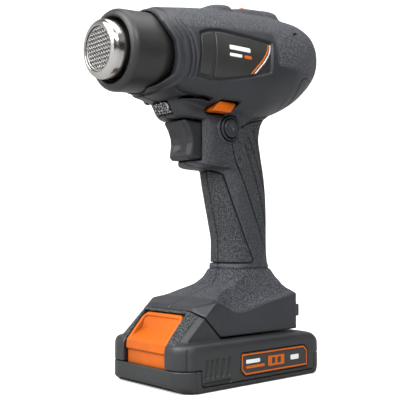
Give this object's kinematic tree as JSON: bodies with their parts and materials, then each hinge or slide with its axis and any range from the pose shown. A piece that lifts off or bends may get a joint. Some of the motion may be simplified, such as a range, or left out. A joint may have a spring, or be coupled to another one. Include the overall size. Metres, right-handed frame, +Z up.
{
  "type": "cordless heat gun",
  "caption": "Pistol-grip cordless heat gun with a round steel hot-air outlet in a dark guard ring, standing on its slide-on battery pack.",
  "frame": {"origin": "centre of the battery pack's flat base", "axes": "+Z up, -Y forward, the way the hot-air outlet points (4.7 degrees nose down), +X the gun's left flank; the housing halves meet on the plane X = 0"},
  "size_m": [0.076, 0.1851, 0.2504],
  "materials": {
    "housing": "satin with stippled zones",
    "collar": "satin",
    "steel": "polished",
    "bare_metal": "plain",
    "rubber": "fine grain",
    "badge": "semi gloss",
    "orange": "satin",
    "trigger": "satin",
    "lens": "clear",
    "pack": "satin with stippled tower",
    "mica": "plain",
    "black": "plain",
    "board": "solder mask",
    "brass": "plain",
    "wire_red": "insulation",
    "cell": "heat-shrink sleeve"
  },
  "bodies": {
    "housing": {"housing_left": "housing", "housing_right": "housing", "rear_cover": "housing", "front_collar": "collar", "nozzle_tube": "steel", "nozzle_grille": "steel", "heater_tube": "mica", "heater_cross": "mica", "heating_coil": "bare_metal", "thermal_cutout": "brass", "fan_duct": "black", "motor_can": "bare_metal", "motor_bracket": "black", "trigger_switch": "black", "control_board": "board", "mode_switch": "black", "work_light_lens": "lens", "work_light_led": "lens", "terminal_block": "black", "terminal_blade_left": "brass", "terminal_blade_right": "brass", "wire_positive": "wire_red", "wire_negative": "black", "grip_front_left": "rubber", "grip_front_right": "rubber", "grip_rear_left": "rubber", "grip_rear_right": "rubber", "badge_left": "badge", "badge_right": "badge", "boss_cap_left": "housing", "boss_cap_right": "housing", "housing_screw_1": "bare_metal", "housing_screw_2": "bare_metal", "housing_screw_3": "bare_metal", "housing_screw_4": "bare_metal", "housing_screw_5": "bare_metal", "housing_screw_6": "bare_metal"},
    "trigger": {"trigger": "trigger", "trigger_plunger": "bare_metal", "trigger_spring": "bare_metal"},
    "lock_off": {"lock_off_bar": "orange"},
    "heat_slider": {"mode_slider": "orange"},
    "fan": {"fan_impeller": "black", "motor_shaft": "bare_metal", "motor_armature": "bare_metal"},
    "pack": {"pack_lower_case": "pack", "pack_upper_case": "pack", "cell_1": "cell", "cell_2": "cell", "cell_3": "cell", "cell_4": "cell", "cell_5": "cell", "cell_holder": "black", "pack_board": "board", "pack_label_left": "badge", "pack_label_right": "badge", "latch_spring": "bare_metal"},
    "latch": {"pack_latch": "orange"}
  },
  "joints": [
    {"name": "trigger_pull", "type": "slide", "parent": "housing", "child": "trigger", "axis": [0, 1, 0], "range_m": [0, 0.0065], "stiffness_N_per_m": 900, "springref_m": -0.006, "deforming": ["trigger_spring"]},
    {"name": "lock_off_slide", "type": "slide", "parent": "housing", "child": "lock_off", "axis": [1, 0, 0], "range_m": [-0.005, 0]},
    {"name": "heat_select", "type": "slide", "parent": "housing", "child": "heat_slider", "axis": [0, 1, 0], "range_m": [0, 0.007]},
    {"name": "fan_spin", "type": "hinge", "parent": "housing", "child": "fan", "pos_m": [0, -0.0976, 0.2028], "axis": [0, 0.9966, 0.0819], "continuous": true},
    {"name": "pack_release", "type": "slide", "parent": "housing", "child": "pack", "axis": [0, -1, 0], "range_m": [0, 0.085]},
    {"name": "latch_press", "type": "slide", "parent": "pack", "child": "latch", "axis": [0, 0, -1], "range_m": [0, 0.004], "stiffness_N_per_m": 1500, "springref_m": -0.003, "deforming": ["latch_spring"]}
  ]
}
